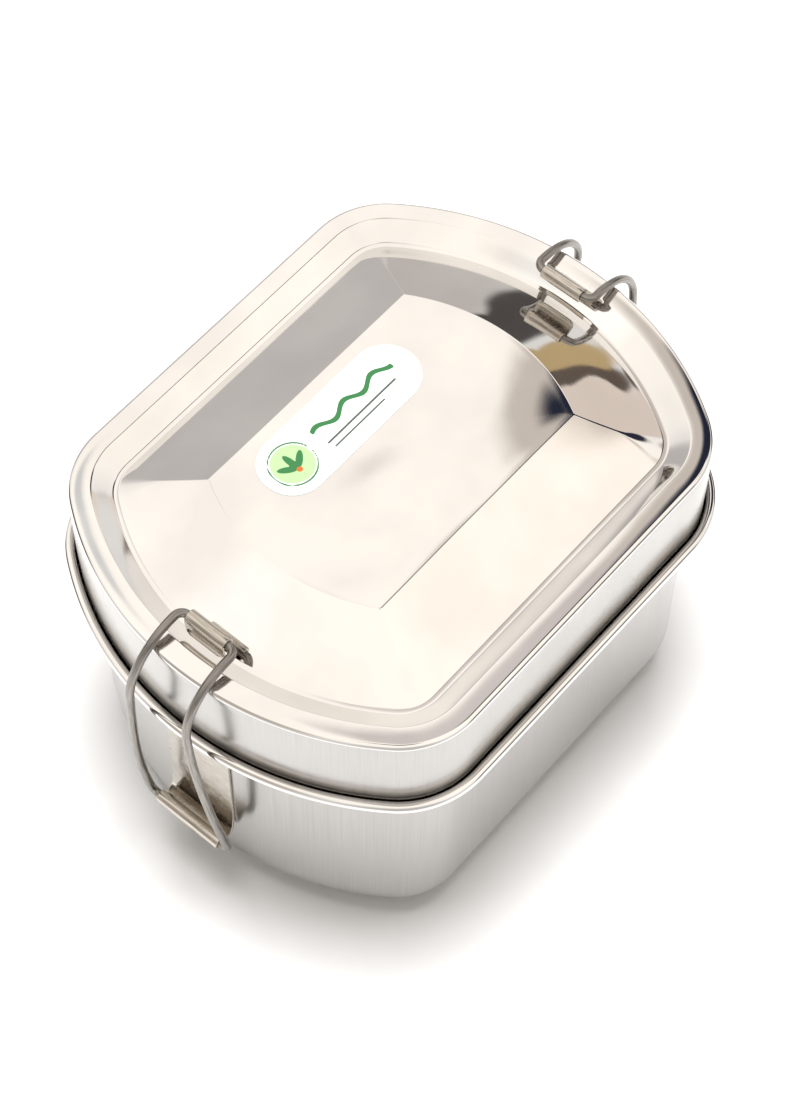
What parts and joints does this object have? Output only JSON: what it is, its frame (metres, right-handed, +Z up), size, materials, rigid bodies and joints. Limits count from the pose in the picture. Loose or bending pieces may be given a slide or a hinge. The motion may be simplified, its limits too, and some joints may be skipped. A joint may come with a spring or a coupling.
{
  "type": "tiffin carrier",
  "caption": "Capsule-shaped polished steel lunch carrier: a deep pan, a deep lift-off lid with a raised plateau, and a wire bail clip with a hinged latch on each end.",
  "frame": {"origin": "on the ground, under the middle of the pan", "axes": "+Z up, +X along the length towards the rear clip, +Y across the width"},
  "size_m": [0.1772, 0.1316, 0.1124],
  "materials": {
    "pan_steel": "satin-polished deep-drawn stainless steel",
    "lid_steel": "mirror-polished pressed stainless steel",
    "clip_steel": "polished stainless strip",
    "wire_steel": "drawn stainless spring wire",
    "label_paper": "semi-gloss coated paper sticker"
  },
  "bodies": {
    "pan": {"body_pan": "pan_steel", "front_bracket": "clip_steel", "rear_bracket": "clip_steel"},
    "lid": {"lid": "lid_steel", "label": "label_paper"},
    "front_bail": {"front_bail": "wire_steel"},
    "rear_bail": {"rear_bail": "wire_steel"},
    "front_latch": {"front_latch": "clip_steel"},
    "rear_latch": {"rear_latch": "clip_steel"}
  },
  "joints": [
    {"name": "lid_lift", "type": "slide", "parent": "pan", "child": "lid", "axis": [0, 0, 1], "range_m": [0, 0.01]},
    {"name": "front_bail_swing", "type": "hinge", "parent": "pan", "child": "front_bail", "pos_m": [-0.0813, 0, 0.027], "axis": [0, -1, 0], "range_deg": [0, 100]},
    {"name": "rear_bail_swing", "type": "hinge", "parent": "pan", "child": "rear_bail", "pos_m": [0.0813, 0, 0.027], "axis": [0, 1, 0], "range_deg": [0, 100]},
    {"name": "front_latch_turn", "type": "hinge", "parent": "front_bail", "child": "front_latch", "pos_m": [-0.068, 0, 0.11015], "axis": [0, 1, 0], "range_deg": [0, 100]},
    {"name": "rear_latch_turn", "type": "hinge", "parent": "rear_bail", "child": "rear_latch", "pos_m": [0.068, 0, 0.11015], "axis": [0, -1, 0], "range_deg": [0, 100]}
  ],
  "couplings": [
    {"joint": "front_bail_swing", "follows": "lid_lift", "rad_per_m": 174.5},
    {"joint": "rear_bail_swing", "follows": "lid_lift", "rad_per_m": 174.5}
  ]
}
